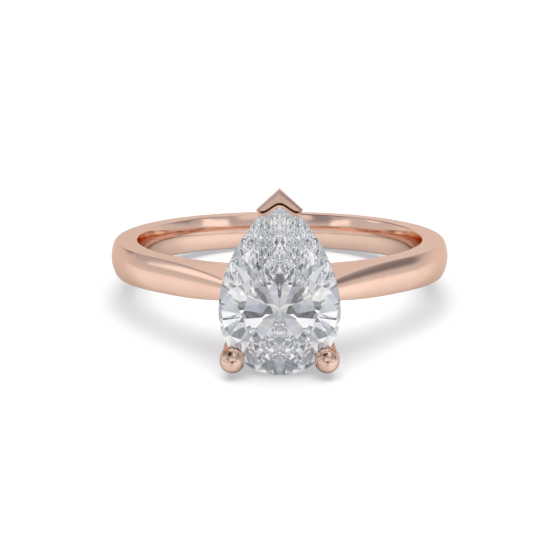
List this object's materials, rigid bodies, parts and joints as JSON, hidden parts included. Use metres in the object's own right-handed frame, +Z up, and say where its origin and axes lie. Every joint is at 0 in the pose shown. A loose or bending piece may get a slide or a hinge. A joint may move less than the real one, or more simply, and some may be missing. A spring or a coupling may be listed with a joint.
{
  "type": "engagement ring",
  "caption": "Rose gold cathedral solitaire ring: tapered court band, arms rising to a basket head, and a pear brilliant held by a V claw and round bead claws.",
  "frame": {"origin": "centre of the bounding box's underside, on the surface that the ring rests on", "axes": "+Z up from that surface, -Y towards the head, +X towards the stone's right as it is looked at from the front; the finger hole's axis leans 7.4 degrees from +Z towards +Y"},
  "size_m": [0.0196, 0.023, 0.0091],
  "materials": {
    "rose_gold": "mirror polished 18 carat rose gold",
    "diamond": "polished, faceted"
  },
  "bodies": {
    "root": {"shank": "rose_gold", "left_shoulder": "rose_gold", "right_shoulder": "rose_gold", "base_rail": "rose_gold", "gallery_rail": "rose_gold", "tip_claw": "rose_gold", "left_claw": "rose_gold", "right_claw": "rose_gold", "diamond": "diamond"}
  },
  "joints": []
}
